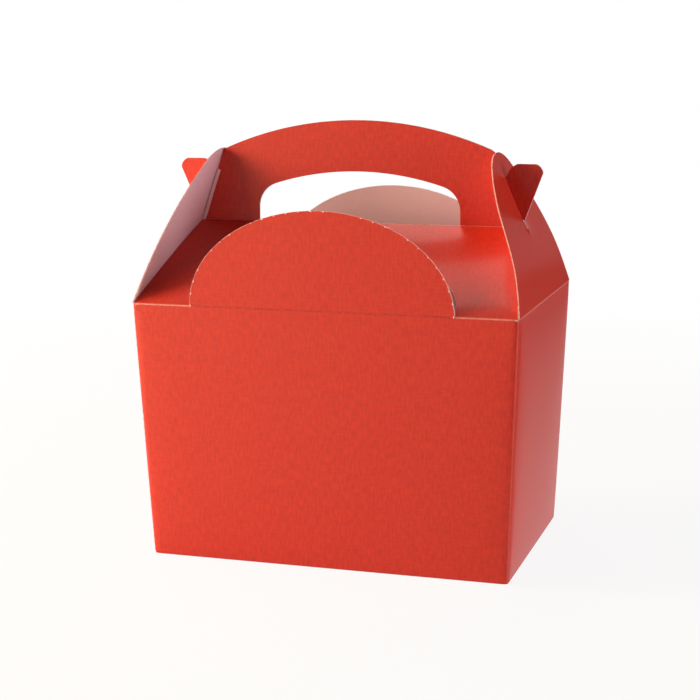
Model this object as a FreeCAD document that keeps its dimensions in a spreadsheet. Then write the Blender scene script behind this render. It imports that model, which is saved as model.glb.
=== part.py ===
import FreeCAD, Part
import math
import os

import Sketcher

# Folded paperboard lunch box with a gable top and a double carrying handle.
# Millimetres, +Z up, front wall towards -Y, origin on the floor under the middle of the base.
# Every panel of the folded blank is a plate of its own, and the panels meet along creases.

SIZES = {
    # Tapered body, outside faces
    "shoulder_width": 152.0,
    "shoulder_depth": 101.5,
    "shoulder_height": 101.5,
    "base_width": 143.6,
    "base_depth": 93.0,
    # Board and the small gaps between plates
    "board": 0.45,
    "crease_relief": 0.3,
    "ply_gap": 0.05,
    "edge_clearance": 0.3,
    # Glued seam and folded base
    "seam_width": 12.0,
    "seam_end_inset": 6.0,
    "base_overlap": 14.0,
    "base_flap_reach": 46.0,
    "base_flap_taper": 12.0,
    # Gable roof and the half-moon that stands up out of it
    "crease_rise": 27.6,
    "dome_width": 104.0,
    "dome_height": 37.7,
    "dome_kerf": 0.35,
    # Handle panels above the roof crease
    "handle_height": 40.4,
    "handle_end_height": 28.4,
    "handle_gap": 0.3,
    "hole_width": 83.4,
    "hole_height": 20.3,
    "hole_crown_radius": 115.0,
    "hole_corner_radius": 10.0,
    # End flaps that lean in over the roof ends
    "flap_lean": 18.5,
    "flap_height": 59.6,
    "flap_neck_width": 34.0,
    "flap_neck_height": 53.0,
    "flap_side_radius": 118.0,
    # Slot in each end flap, and the ears of the handles that lock into it
    "slot_width": 2.0,
    "slot_clearance": 1.0,
    "slot_tail": 5.0,
    "lip_width": 1.8,
    "ear_base_height": 3.4,
    "ear_root": 17.5,
    "ear_neck": 1.3,
    "ear_reach": 14.3,
    "ear_hook": 3.3,
    "ear_hook_reach": 6.0,
    "ear_top_reach": 12.8,
    "ear_top_drop": 2.3,
    "ear_tip_drop": 6.4,
    "ear_hook_radius": 6.5,
    "ear_corner_radius": 4.0,
}

# Lengths and angles in degrees that follow from the sizes
FOLDS = {
    "front_lean": "atan((Sizes.shoulder_depth - Sizes.base_depth) / 2 / Sizes.shoulder_height) / 1 deg",
    "side_lean": "atan((Sizes.shoulder_width - Sizes.base_width) / 2 / Sizes.shoulder_height) / 1 deg",
    "front_slant": "Sizes.shoulder_height / cos(Folds.front_lean)",
    "side_slant": "Sizes.shoulder_height / cos(Folds.side_lean)",
    "wall_inset": "Sizes.board / cos(max(Folds.front_lean; Folds.side_lean)) + Sizes.ply_gap",
    "handle_face": "Sizes.handle_gap / 2 + Sizes.board",
    "roof_run": "Sizes.shoulder_depth / 2 - Folds.handle_face",
    "roof_slope": "atan(Sizes.crease_rise / Folds.roof_run) / 1 deg",
    "roof_length": "sqrt(pow(Folds.roof_run; 2) + pow(Sizes.crease_rise; 2))",
    "roof_inset": "Sizes.board / cos(Sizes.flap_lean) + Sizes.edge_clearance",
    "roof_low_half": "Sizes.shoulder_width / 2 - Folds.roof_inset",
    "roof_high_half": "Folds.roof_low_half - Sizes.crease_rise * tan(Sizes.flap_lean)",
    "handle_end_half": "Folds.roof_high_half - Sizes.handle_end_height * tan(Sizes.flap_lean)",
    "handle_sag": "Sizes.handle_height - Sizes.handle_end_height",
    "handle_radius": "(pow(Folds.handle_end_half; 2) + pow(Folds.handle_sag; 2)) / 2 / Folds.handle_sag",
    "hole_half": "Sizes.hole_width / 2",
    "hole_centre": "Sizes.hole_height - Sizes.hole_crown_radius",
    "corner_x": "Folds.hole_half - Sizes.hole_corner_radius",
    "corner_reach": "Sizes.hole_crown_radius - Sizes.hole_corner_radius",
    "corner_y": "Folds.hole_centre + sqrt(pow(Folds.corner_reach; 2) - pow(Folds.corner_x; 2))",
    "crown_x": "Folds.corner_x * Sizes.hole_crown_radius / Folds.corner_reach",
    "crown_y": "Folds.hole_centre + (Folds.corner_y - Folds.hole_centre)"
               " * Sizes.hole_crown_radius / Folds.corner_reach",
    "flap_half": "Sizes.shoulder_depth / 2 - Sizes.edge_clearance",
    "flap_top_sag": "Sizes.flap_height - Sizes.flap_neck_height",
    "flap_top_radius": "(pow(Sizes.flap_neck_width / 2; 2) + pow(Folds.flap_top_sag; 2))"
                       " / 2 / Folds.flap_top_sag",
    "ear_low": "Sizes.crease_rise + Sizes.ear_base_height",
    "ear_edge_half": "Folds.roof_low_half - Folds.ear_low * tan(Sizes.flap_lean)",
    "ear_station": "Folds.roof_inset * sin(Sizes.flap_lean) + Folds.ear_low / cos(Sizes.flap_lean)",
    "slot_low": "Folds.ear_station - Sizes.slot_clearance - Sizes.slot_tail",
    "slot_high": "Folds.ear_station + Sizes.ear_root + Sizes.slot_clearance",
}

FRONT_AND_BACK = {"front": 0, "back": 180}
RIGHT_AND_LEFT = {"right": 90, "left": -90}
SIDE_SIGN = {"right": 1, "left": -1}

doc = FreeCAD.newDocument("lunch_box")
subparts = []


def make_sheet(name, cells):
    """Add a sheet with one aliased cell for each name, and return it."""
    sheet = doc.addObject("Spreadsheet::Sheet", name)
    for row, (alias, content) in enumerate(cells.items(), start=1):
        sheet.set("A%d" % row, alias)
        sheet.setAlias("B%d" % row, alias)
        sheet.set("B%d" % row, content)
    doc.recompute()
    return sheet


def place(obj, where, turn):
    """Bind an object's place to three lengths and its turn to yaw, pitch and roll."""
    formula = "placement(vector(%s; %s; %s); rotation(%s; %s; %s))" % (*where, *turn)
    obj.setExpression("Placement", formula)


def outward(yaw, distance):
    """Return the X and Y formulas of a point at a distance from the axis towards a wall."""
    turn = math.radians(yaw)
    return ["%d * (%s)" % (round(part), distance) for part in (math.sin(turn), -math.cos(turn))]


def make_body(label):
    """Add an empty body that will be written under its label."""
    body = doc.addObject("PartDesign::Body", label)
    body.Label = label
    subparts.append(body)
    return body


def make_sketch(body, name):
    """Add a sketch on the body's own XY plane."""
    sketch = body.newObject("Sketcher::SketchObject", name)
    plane = [item for item in body.Origin.OriginFeatures if item.Role == "XY_Plane"][0]
    sketch.AttachmentSupport = [(plane, "")]
    sketch.MapMode = "FlatFace"
    return sketch


def constrain(sketch, formula, kind, *where):
    """Add a dimension to a sketch and bind it to a formula."""
    value = float(sketch.evalExpression(formula))
    index = sketch.addConstraint(Sketcher.Constraint(kind, *where, value))
    sketch.setExpression("Constraints[%d]" % index, formula)


def arc_between(first, last, radius):
    """Return the shorter arc that turns left from the first point to the last."""
    chord = last - first
    half = chord.Length / 2
    left = FreeCAD.Vector(-chord.y, chord.x, 0).normalize()
    centre = (first + last) / 2 + left * math.sqrt(radius * radius - half * half)
    start = math.atan2(first.y - centre.y, first.x - centre.x)
    end = math.atan2(last.y - centre.y, last.x - centre.x)
    return Part.ArcOfCircle(Part.Circle(centre, FreeCAD.Vector(0, 0, 1), radius), start, end)


def draw_outline(sketch, corners):
    """Draw a closed outline, anticlockwise.

    Each corner is an X formula, a Y formula and, where an arc leads to the next corner, its radius.
    """
    points = [
        FreeCAD.Vector(*(float(sketch.evalExpression(formula)) for formula in corner[:2]), 0)
        for corner in corners
    ]
    for index, corner in enumerate(corners):
        first = points[index]
        last = points[(index + 1) % len(points)]
        if len(corner) == 3:
            radius = float(sketch.evalExpression(corner[2]))
            sketch.addGeometry(arc_between(first, last, radius))
        else:
            sketch.addGeometry(Part.LineSegment(first, last))
    for index, corner in enumerate(corners):
        following = (index + 1) % len(corners)
        sketch.addConstraint(Sketcher.Constraint("Coincident", index, 2, following, 1))
        constrain(sketch, corner[0], "DistanceX", -1, 1, index, 1)
        constrain(sketch, corner[1], "DistanceY", -1, 1, index, 1)
        if len(corner) == 3:
            constrain(sketch, corner[2], "Radius", index)


def mirrored(corners):
    """Complete an outline from its right half, listed upwards, whose last point may lie on the axis."""
    left = []
    for index in range(len(corners) - 1, -1, -1):
        corner = ("-(%s)" % corners[index][0], corners[index][1])
        radius = corners[index - 1][2:] if index else ()
        left.append(corner + radius)
    return corners + left


def draw_ellipse(sketch, half_width, half_height):
    """Draw an ellipse about the sketch's origin from the formulas of its half axes."""
    wide = float(sketch.evalExpression(half_width))
    high = float(sketch.evalExpression(half_height))
    centre = FreeCAD.Vector(0, 0, 0)
    ellipse = Part.Ellipse(FreeCAD.Vector(wide, 0, 0), FreeCAD.Vector(0, high, 0), centre)
    sketch.addGeometry(ellipse)
    sketch.exposeInternalGeometry(0)
    sketch.addConstraint(Sketcher.Constraint("Coincident", 0, 3, -1, 1))
    sketch.addConstraint(Sketcher.Constraint("Horizontal", 1))
    constrain(sketch, "2 * (%s)" % half_width, "Distance", 1)
    constrain(sketch, "2 * (%s)" % half_height, "Distance", 2)


def pad_board(body, sketch, inwards=True):
    """Give an outline the thickness of the board, behind the sketch or in front of it."""
    pad = body.newObject("PartDesign::Pad", body.Label + "_board")
    pad.Profile = sketch
    pad.setExpression("Length", "Sizes.board")
    pad.Reversed = inwards
    doc.recompute()


def cut_through(body, sketch, name):
    """Cut an outline right through the board and make sure that it took material away."""
    before = body.Shape.Volume
    pocket = body.newObject("PartDesign::Pocket", body.Label + name)
    pocket.Profile = sketch
    pocket.Type = "ThroughAll"
    pocket.Midplane = True
    doc.recompute()
    if body.Shape.Volume >= before:
        raise RuntimeError("%s cut nothing out of %s" % (name, body.Label))


def make_plate(label, corners, inwards=True):
    """Make a board plate from one closed outline."""
    body = make_body(label)
    sketch = make_sketch(body, label + "_outline")
    draw_outline(sketch, corners)
    pad_board(body, sketch, inwards)
    return body


def make_wall(label, yaw, kind, low_half, high_half):
    """Make one tapered wall; kind names the lean and slant that it has."""
    top = "Folds.%s_slant - Sizes.crease_relief" % kind
    body = make_plate(label, mirrored([(low_half, "0"), (high_half, top)]))
    reach = {"front": "Sizes.base_depth / 2", "side": "Sizes.base_width / 2"}[kind]
    place(body, [*outward(yaw, reach), "0"], [yaw, 0, "90 + Folds.%s_lean" % kind])


def make_walls():
    """Make the four walls; the front and back run over the ends of the side walls."""
    for name, yaw in FRONT_AND_BACK.items():
        make_wall(name + "_panel", yaw, "front", "Sizes.base_width / 2", "Sizes.shoulder_width / 2")
    for name, yaw in RIGHT_AND_LEFT.items():
        low = "Sizes.base_depth / 2 - Folds.wall_inset"
        high = "Sizes.shoulder_depth / 2 - Folds.wall_inset"
        make_wall(name + "_side_panel", yaw, "side", low, high)


def make_seam():
    """Make the glue tab that laps the inside of the back wall at its left end."""
    edge = "Sizes.base_width / 2 - Folds.wall_inset + (%s) * tan(Folds.side_lean)"
    low = "Sizes.seam_end_inset"
    high = "Folds.front_slant - Sizes.seam_end_inset"
    corners = [
        ("%s - Sizes.seam_width" % (edge % low), low),
        (edge % low, low),
        (edge % high, high),
        ("%s - Sizes.seam_width" % (edge % high), high),
    ]
    body = make_plate("seam_glue_tab", corners)
    depth = "Sizes.base_depth / 2 - (Sizes.board + Sizes.ply_gap) / cos(Folds.front_lean)"
    place(body, ["0", depth, "0"], [180, 0, "90 + Folds.front_lean"])


def make_base():
    """Make the folded base: the lock panel lowest, the two end flaps on it and the main panel on top."""
    step = "(Sizes.board + Sizes.ply_gap)"
    half = "Sizes.base_width / 2 - Folds.wall_inset"
    rear = "Sizes.base_depth / 2 - Folds.wall_inset"
    panel = mirrored([(half, "-(%s)" % rear), (half, "Sizes.base_overlap / 2")])
    for name, yaw, layer in (("base_lock_panel", 0, 0), ("base_main_panel", 180, 2)):
        body = make_plate(name, panel, inwards=False)
        place(body, ["0", "0", "%d * %s" % (layer, step)], [yaw, 0, 0])
    inner = "-(%s) + Sizes.base_flap_reach" % half
    narrow = "%s - Sizes.base_flap_taper" % rear
    flap = mirrored([(rear, "-(%s)" % half), (narrow, inner)])
    for name, yaw in RIGHT_AND_LEFT.items():
        body = make_plate("base_%s_flap" % name, flap, inwards=False)
        place(body, ["0", "0", step], [yaw, 0, 0])


def make_roofs():
    """Make the two sloping roof panels, each with the half-moon opening that its dome leaves."""
    top = "Folds.roof_length - Sizes.crease_relief"
    low = ("Folds.roof_low_half", "Sizes.crease_relief")
    for name, yaw in FRONT_AND_BACK.items():
        label = name + "_roof_panel"
        body = make_plate(label, mirrored([low, ("Folds.roof_high_half", top)]))
        opening = make_sketch(body, label + "_half_moon")
        half_width = "Sizes.dome_width / 2 + Sizes.dome_kerf"
        draw_ellipse(opening, half_width, "Sizes.dome_height + Sizes.dome_kerf")
        cut_through(body, opening, "_opening")
        shoulder = [*outward(yaw, "Sizes.shoulder_depth / 2"), "Sizes.shoulder_height"]
        place(body, shoulder, [yaw, 0, "Folds.roof_slope"])


def make_domes():
    """Make the half-moons that stand up in the planes of the front and back walls."""
    beyond = "Sizes.dome_width"
    for name, yaw in FRONT_AND_BACK.items():
        label = name + "_dome"
        body = make_body(label)
        outline = make_sketch(body, label + "_outline")
        draw_ellipse(outline, "Sizes.dome_width / 2", "Sizes.dome_height")
        pad_board(body, outline)
        lower = make_sketch(body, label + "_lower_half")
        draw_outline(lower, mirrored([(beyond, "-%s" % beyond), (beyond, "Sizes.crease_relief")]))
        cut_through(body, lower, "_trim")
        shoulder = [*outward(yaw, "Sizes.shoulder_depth / 2"), "Sizes.shoulder_height"]
        place(body, shoulder, [yaw, 0, "90 + Folds.front_lean"])


def make_handles():
    """Make the two handle panels that stand back to back above the roof creases."""
    foot = "Folds.roof_high_half - Sizes.crease_relief * tan(Sizes.flap_lean)"
    outline = mirrored([
        (foot, "Sizes.crease_relief"),
        ("Folds.handle_end_half", "Sizes.handle_end_height", "Folds.handle_radius"),
    ])
    hole = [
        ("Folds.hole_half", "-Sizes.crease_relief"),
        ("Folds.hole_half", "Folds.corner_y", "Sizes.hole_corner_radius"),
        ("Folds.crown_x", "Folds.crown_y", "Sizes.hole_crown_radius"),
    ]
    for name, yaw in FRONT_AND_BACK.items():
        label = name + "_handle"
        body = make_plate(label, outline, inwards=False)
        opening = make_sketch(body, label + "_finger_hole")
        draw_outline(opening, mirrored(hole))
        cut_through(body, opening, "_opening")
        height = "Sizes.shoulder_height + Sizes.crease_rise"
        place(body, [*outward(yaw, "Sizes.handle_gap / 2"), height], [yaw, 0, 90])


def make_ears():
    """Make the hooked ears at the ends of both handles, which pass out through the end flap slots."""
    hook = "Sizes.ear_root + Sizes.ear_hook"
    corners = [
        ("Sizes.ply_gap", "0"),
        ("Sizes.ear_neck", "0"),
        ("Sizes.ear_reach", "%s - Sizes.ear_tip_drop" % hook, "Sizes.ear_corner_radius"),
        ("Sizes.ear_top_reach", "%s - Sizes.ear_top_drop" % hook),
        ("Sizes.ear_hook_reach", hook, "Sizes.ear_hook_radius"),
        ("Sizes.ear_neck", "Sizes.ear_root"),
        ("Sizes.ply_gap", "Sizes.ear_root"),
    ]
    height = "Sizes.shoulder_height + Folds.ear_low"
    for face, facing in (("front", -1), ("back", 1)):
        for name, sign in SIDE_SIGN.items():
            # Seen from in front, a right ear's outline is as listed; a left ear is turned about Z.
            toward_viewer = facing * sign < 0
            body = make_plate("%s_%s_ear" % (face, name), corners, inwards=not toward_viewer)
            where = ["%d * Folds.ear_edge_half" % sign, "%d * Sizes.handle_gap / 2" % facing, height]
            yaw = 0 if sign > 0 else 180
            place(body, where, [yaw, "-Sizes.flap_lean", 90])


def make_end_flaps():
    """Make the two arched end flaps with their slots, and the lip folded in beside each slot."""
    arch = mirrored([
        ("Folds.flap_half", "Sizes.crease_relief", "Sizes.flap_side_radius"),
        ("Sizes.flap_neck_width / 2", "Sizes.flap_neck_height", "Folds.flap_top_radius"),
    ])
    slot = mirrored([("Sizes.slot_width / 2", "Folds.slot_low"), ("Sizes.slot_width / 2", "Folds.slot_high")])
    for name, yaw in RIGHT_AND_LEFT.items():
        label = name + "_end_flap"
        body = make_plate(label, arch)
        opening = make_sketch(body, label + "_slot")
        draw_outline(opening, slot)
        cut_through(body, opening, "_opening")
        hinge = [*outward(yaw, "Sizes.shoulder_width / 2"), "Sizes.shoulder_height"]
        place(body, hinge, [yaw, 0, "90 - Sizes.flap_lean"])
        make_lip(name, yaw)


def make_lip(name, yaw):
    """Make the strip that was cut from a slot and stands in from the slot's front edge."""
    lip = doc.addObject("Part::Box", name + "_slot_lip")
    lip.Label = name + "_slot_lip"
    lip.setExpression("Length", "Sizes.board")
    lip.setExpression("Width", "Sizes.ear_root")
    lip.setExpression("Height", "Sizes.lip_width")
    subparts.append(lip)
    sign = SIDE_SIGN[name]
    depth = "(Sizes.board + Sizes.ply_gap + Sizes.lip_width)"
    out = "(Sizes.shoulder_width / 2 - Folds.ear_station * sin(Sizes.flap_lean) - %s * cos(Sizes.flap_lean))"
    rise = "Sizes.shoulder_height + Folds.ear_station * cos(Sizes.flap_lean) - %s * sin(Sizes.flap_lean)"
    near = "-Sizes.slot_width / 2"
    corner = near + " - Sizes.board" if sign > 0 else near
    where = ["%d * %s" % (sign, out % depth), corner, rise % depth]
    place(lip, where, [yaw, 0, "90 - Sizes.flap_lean"])


def check_and_write():
    """Stop if an object failed or a solid is unsound, then write each sub-part to its file."""
    doc.recompute()
    for obj in doc.Objects:
        if {"Invalid", "Error"} & set(obj.State):
            raise RuntimeError("%s: %s" % (obj.Label, obj.State))
    for obj in subparts:
        shape = obj.Shape
        if shape.isNull() or not shape.isValid() or len(shape.Solids) != 1:
            raise RuntimeError("%s is not one sound solid" % obj.Label)
    os.makedirs("parts", exist_ok=True)
    for obj in subparts:
        obj.Shape.exportStep("parts/%s.step" % obj.Label)
        print("%-18s %8.1f mm3" % (obj.Label, obj.Shape.Volume))


make_sheet("Sizes", {alias: str(value) for alias, value in SIZES.items()})
make_sheet("Folds", {alias: "=" + formula for alias, formula in FOLDS.items()})
make_walls()
make_seam()
make_base()
make_roofs()
make_domes()
make_handles()
make_ears()
make_end_flaps()
check_and_write()
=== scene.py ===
import logging
import math
from dataclasses import dataclass
from enum import Enum
from typing import Callable, Iterable, Sequence

import bpy
from bpy.types import Material, Mesh, Node, NodeSocket, NodeTree, Object
from mathutils import Euler, Matrix, Vector, noise
from mathutils.geometry import delaunay_2d_cdt, intersect_point_line


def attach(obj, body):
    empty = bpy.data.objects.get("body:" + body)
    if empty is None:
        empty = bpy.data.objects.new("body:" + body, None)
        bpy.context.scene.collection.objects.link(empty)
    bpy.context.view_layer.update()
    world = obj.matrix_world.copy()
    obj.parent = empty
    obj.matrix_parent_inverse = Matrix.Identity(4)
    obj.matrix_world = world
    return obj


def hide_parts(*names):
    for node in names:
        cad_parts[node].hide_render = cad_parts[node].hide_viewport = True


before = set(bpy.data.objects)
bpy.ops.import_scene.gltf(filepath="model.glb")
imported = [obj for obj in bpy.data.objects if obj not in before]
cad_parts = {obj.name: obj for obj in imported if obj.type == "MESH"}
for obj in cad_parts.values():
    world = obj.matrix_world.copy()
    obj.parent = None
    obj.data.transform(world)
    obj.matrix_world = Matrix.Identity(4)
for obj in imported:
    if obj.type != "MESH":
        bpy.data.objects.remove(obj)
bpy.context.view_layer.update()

# A red lunch box folded from one sheet of lacquered paperboard. Every panel is a thin curved-edge sheet
# with a lacquered outside, a bare inside and pale cut edges. Sizes are in millimetres, meshes in metres.

LOG = logging.getLogger("lunch_box")
MM = 0.001
PHOTO_PIXELS = 700
SENSOR_MM = 36.0

# A crease mark's width, and the patches where it is fainter: their size, the noise over which they fade
# and the share of the mark that is left in them.
MARK_MM = 0.5
PATCH_MM = 2.2
PATCH_FADE = (0.3, 0.6)
PATCH_SHARE = 0.5

# The smallest tuft of torn fibres as a share of the largest.
LEAST_TUFT = 0.45

Point = tuple[float, float]
Span = tuple[float, float]
Triangle = tuple[int, int, int]
Warp = Callable[[float, float], float]


class Wall(Enum):
    """The four sides of the box, each with the turn in degrees that carries the front to it."""

    FRONT = 0.0
    RIGHT = 90.0
    BACK = 180.0
    LEFT = -90.0

    def outward(self, distance: float) -> Vector:
        """Return the point at a distance from the box's axis towards this side."""
        turn = math.radians(self.value)
        return Vector((math.sin(turn) * distance, -math.cos(turn) * distance, 0.0))

    @property
    def word(self) -> str:
        """The side's name in small letters."""
        return self.name.lower()

    @property
    def rearward(self) -> int:
        """The way to the back of the box along an end panel's own width, 1 or -1."""
        return 1 if self is Wall.RIGHT else -1


GABLES = (Wall.FRONT, Wall.BACK)
ENDS = (Wall.RIGHT, Wall.LEFT)


def srgb(code: str) -> tuple[float, float, float, float]:
    """Turn an sRGB hex colour into linear RGBA.

    Args:
        code: six hex digits, with or without a leading hash.

    Returns:
        The linear colour with an alpha of one.
    """
    digits = code.lstrip("#")
    values = [int(digits[i:i + 2], 16) / 255.0 for i in (0, 2, 4)]
    linear = [v / 12.92 if v <= 0.04045 else ((v + 0.055) / 1.055) ** 2.4 for v in values]
    return (*linear, 1.0)


def add_node(tree: NodeTree, kind: str, settings: dict | None = None, inputs: dict | None = None) -> Node:
    """Add a node with its settings and its inputs.

    Args:
        tree: the node tree that gets the node.
        kind: the node's type name.
        settings: attributes to set on the node.
        inputs: socket names or places, each with a value or the output socket that feeds it.

    Returns:
        The new node.
    """
    node = tree.nodes.new(kind)
    for name, value in (settings or {}).items():
        setattr(node, name, value)
    for socket, value in (inputs or {}).items():
        if isinstance(value, NodeSocket):
            tree.links.new(value, node.inputs[socket])
        else:
            node.inputs[socket].default_value = value
    return node


def new_material(name: str) -> tuple[Material, NodeTree]:
    """Make an empty node material.

    Args:
        name: the material's name.

    Returns:
        The material and its node tree.
    """
    material = bpy.data.materials.new(name)
    material.use_nodes = True
    material.node_tree.nodes.clear()
    return material, material.node_tree


def streaks(tree: NodeTree, across_mm: float, along_mm: float, upright: bool) -> NodeSocket:
    """Add a noise drawn out into threads on the sheet's flat coordinates.

    Args:
        tree: the material's node tree.
        across_mm: thread spacing.
        along_mm: thread length.
        upright: whether the threads run up the sheet or across it.

    Returns:
        The noise's value.
    """
    flat = add_node(tree, "ShaderNodeAttribute", {"attribute_name": "flat"})
    fine, long = 1.0 / (across_mm * MM), 1.0 / (along_mm * MM)
    scale = (fine, long, 1.0) if upright else (long, fine, 1.0)
    mapping = add_node(tree, "ShaderNodeMapping", inputs={"Vector": flat.outputs["Vector"], "Scale": scale})
    threads = add_node(tree, "ShaderNodeTexNoise", {"noise_dimensions": "2D"},
                       {"Vector": mapping.outputs[0], "Scale": 1.0, "Detail": 1.0})
    return threads.outputs["Fac"]


def crease_mark(tree: NodeTree, name: str) -> NodeSocket:
    """Add a patchy line along the creases, from the strength and distance stored on the sheet.

    Args:
        tree: the material's node tree.
        name: the mark's name: the wear, or the painted shade along a scoring line.

    Returns:
        The mark's share at a point.
    """
    strength, gap, flat = (add_node(tree, "ShaderNodeAttribute", {"attribute_name": stored}).outputs
                           for stored in (name, name + "_gap", "flat"))
    near = add_node(tree, "ShaderNodeMapRange",
                    inputs={0: gap["Fac"], 1: 0.0, 2: MARK_MM * MM, 3: 1.0, 4: 0.0})
    patches = add_node(tree, "ShaderNodeTexNoise",
                       inputs={"Vector": flat["Vector"], "Scale": 1.0 / (PATCH_MM * MM)})
    patchy = add_node(tree, "ShaderNodeMapRange",
                      inputs={0: patches.outputs["Fac"], 1: PATCH_FADE[0], 2: PATCH_FADE[1],
                              3: PATCH_SHARE, 4: 1.0})
    mark = strength["Fac"]
    for share in (near, patchy):
        product = add_node(tree, "ShaderNodeMath", {"operation": "MULTIPLY"}, {0: mark, 1: share.outputs[0]})
        mark = product.outputs[0]
    return mark


@dataclass(frozen=True)
class Finish:
    """A surface of the board, drawn by one shader."""

    name: str
    roughness: float

    def make(self) -> Material:
        """Make the finish's material.

        Returns:
            The material.
        """
        material, tree = new_material(self.name)
        board = add_node(tree, "ShaderNodeBsdfPrincipled",
                         inputs={"Roughness": self.roughness, **self.surface(tree)})
        add_node(tree, "ShaderNodeOutputMaterial", inputs={0: board.outputs[0]})
        return material

    def surface(self, tree: NodeTree) -> dict:
        """Return the shader's inputs, which each finish draws in its own way."""
        raise NotImplementedError

    @staticmethod
    def layered(tree: NodeTree, ground: str, *layers: tuple[NodeSocket, str]) -> NodeSocket:
        """Lay colours over one another.

        Args:
            tree: the material's node tree.
            ground: the lowest colour.
            layers: the share and the colour of each layer, upwards.

        Returns:
            The colour that shows.
        """
        shown = srgb(ground)
        for share, colour in layers:
            mixed = add_node(tree, "ShaderNodeMix", {"data_type": "RGBA"},
                             {0: share, 6: shown, 7: srgb(colour)})
            shown = mixed.outputs[2]
        return shown


@dataclass(frozen=True)
class LacqueredBoard(Finish):
    """Solid bleached carton board, printed red and sealed with a satin lacquer over a linen emboss."""

    name: str = "lacquered_red_carton_board"
    roughness: float = 0.55
    ink: str = "#C92816"
    ink_light: str = "#DC3520"
    worn: str = "#F6C3BA"
    # Painted shade along the pressed scoring lines.
    scored: str = "#A3241C"
    thread_mm: float = 0.8
    thread_length_mm: float = 3.6
    thread_fade: Span = (0.3, 0.7)
    emboss_mm: float = 0.03
    emboss_strength: float = 0.25
    level_share: float = 0.35
    gloss_spread: float = 0.05
    base_gloss: float = 0.4
    coat_weight: float = 0.22
    coat_roughness: float = 0.15
    coat_index: float = 1.45

    def surface(self, tree: NodeTree) -> dict:
        """Draw red ink with a faint linen thread, paler along folds, and darker along scoring lines with
        painted shade.

        Args:
            tree: the material's node tree.

        Returns:
            The shader's inputs.
        """
        # The eye sees an even red under a soft gloss. The real threads are finer than the render can show,
        # so they are drawn as coarse as they need to show.
        upright, level = (streaks(tree, self.thread_mm, self.thread_length_mm, up) for up in (True, False))
        weave = add_node(tree, "ShaderNodeMix", {"data_type": "FLOAT"},
                         {0: self.level_share, 2: upright, 3: level}).outputs[0]
        dull = (self.roughness - self.gloss_spread, self.roughness + self.gloss_spread)
        tone, gloss = (add_node(tree, "ShaderNodeMapRange",
                                inputs={0: weave, 1: self.thread_fade[0], 2: self.thread_fade[1],
                                        3: low, 4: high}).outputs[0]
                       for low, high in ((0.0, 1.0), dull))
        # Over the ink: the pale wear along folds, then painted shade along the scoring lines.
        colour = self.layered(tree, self.ink, (tone, self.ink_light),
                              (crease_mark(tree, "wear"), self.worn),
                              (crease_mark(tree, "score"), self.scored))
        bump = add_node(tree, "ShaderNodeBump",
                        inputs={"Strength": self.emboss_strength, "Distance": self.emboss_mm * MM,
                                "Height": weave})
        return {"Base Color": colour, "Roughness": gloss, "Normal": bump.outputs[0],
                "Specular IOR Level": self.base_gloss, "Coat Weight": self.coat_weight,
                "Coat Roughness": self.coat_roughness, "Coat IOR": self.coat_index}


@dataclass(frozen=True)
class BareBoard(Finish):
    """The uncoated inside of the board, dull and pale, its pink tint painted light bounced off the red
    lacquer.
    """

    name: str = "uncoated_pink_carton_board"
    roughness: float = 0.8
    # Both tones are tinted pink with painted bounce light from the red lacquer; they differ by the fibres'
    # mottle.
    pale: str = "#FADEE9"
    deep: str = "#F4D1DF"
    # Painted shade along the scoring lines on the bare side.
    scored: str = "#6B2F3A"
    fibre_mm: float = 2.5
    fibre_detail: float = 4.0
    tooth_mm: float = 0.03
    tooth_strength: float = 0.2

    def surface(self, tree: NodeTree) -> dict:
        """Draw a soft mottle of paper fibres without gloss, darker along scoring lines with painted shade.

        Args:
            tree: the material's node tree.

        Returns:
            The shader's inputs.
        """
        flat = add_node(tree, "ShaderNodeAttribute", {"attribute_name": "flat"})
        mottle = add_node(tree, "ShaderNodeTexNoise",
                          inputs={"Vector": flat.outputs["Vector"], "Scale": 1.0 / (self.fibre_mm * MM),
                                  "Detail": self.fibre_detail}).outputs["Fac"]
        bump = add_node(tree, "ShaderNodeBump",
                        inputs={"Strength": self.tooth_strength, "Distance": self.tooth_mm * MM,
                                "Height": mottle})
        # Over the mottle: painted shade along the scoring lines.
        colour = self.layered(tree, self.deep, (mottle, self.pale),
                              (crease_mark(tree, "score"), self.scored))
        return {"Base Color": colour, "Normal": bump.outputs[0]}


@dataclass(frozen=True)
class CutEdge(Finish):
    """The die-cut edge of the board, where its core's fibres show, dull and tinted pink by the ink."""

    name: str = "die_cut_board_edge"
    roughness: float = 0.9
    core: str = "#F6C6C6"
    stained: str = "#EA9C9E"
    fibre_mm: float = 1.2
    fibre_detail: float = 2.0
    fibre_fade: Span = (0.35, 0.6)

    def surface(self, tree: NodeTree) -> dict:
        """Draw pale core fibres, stained here and there by the ink.

        Args:
            tree: the material's node tree.

        Returns:
            The shader's inputs.
        """
        place = add_node(tree, "ShaderNodeTexCoord")
        fibre = add_node(tree, "ShaderNodeTexNoise",
                         inputs={"Vector": place.outputs["Object"], "Scale": 1.0 / (self.fibre_mm * MM),
                                 "Detail": self.fibre_detail})
        share = add_node(tree, "ShaderNodeMapRange",
                         inputs={0: fibre.outputs["Fac"], 1: self.fibre_fade[0], 2: self.fibre_fade[1]})
        return {"Base Color": self.layered(tree, self.stained, (share.outputs[0], self.core))}


@dataclass(frozen=True)
class TornFibre(CutEdge):
    """Fibres of the board's core pulled out by a tear, nearly white."""

    name: str = "torn_board_fibre"
    core: str = "#FFF1EF"
    stained: str = "#F8D6D2"


@dataclass(frozen=True)
class PaintedScoreShadow(Finish):
    """Painted shade at the bottom of a pressed scoring line, where the lacquer is broken: a dark colour in
    place of the shadow in the cut.
    """

    name: str = "painted_shadow_in_pressed_score"
    roughness: float = 0.7
    # Painted shade: the dark red of the shadow in the cuts.
    colour: str = "#A62A20"

    def surface(self, tree: NodeTree) -> dict:
        """Return the inputs of a plain dull dark red, the painted shade."""
        return {"Base Color": srgb(self.colour)}


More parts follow.
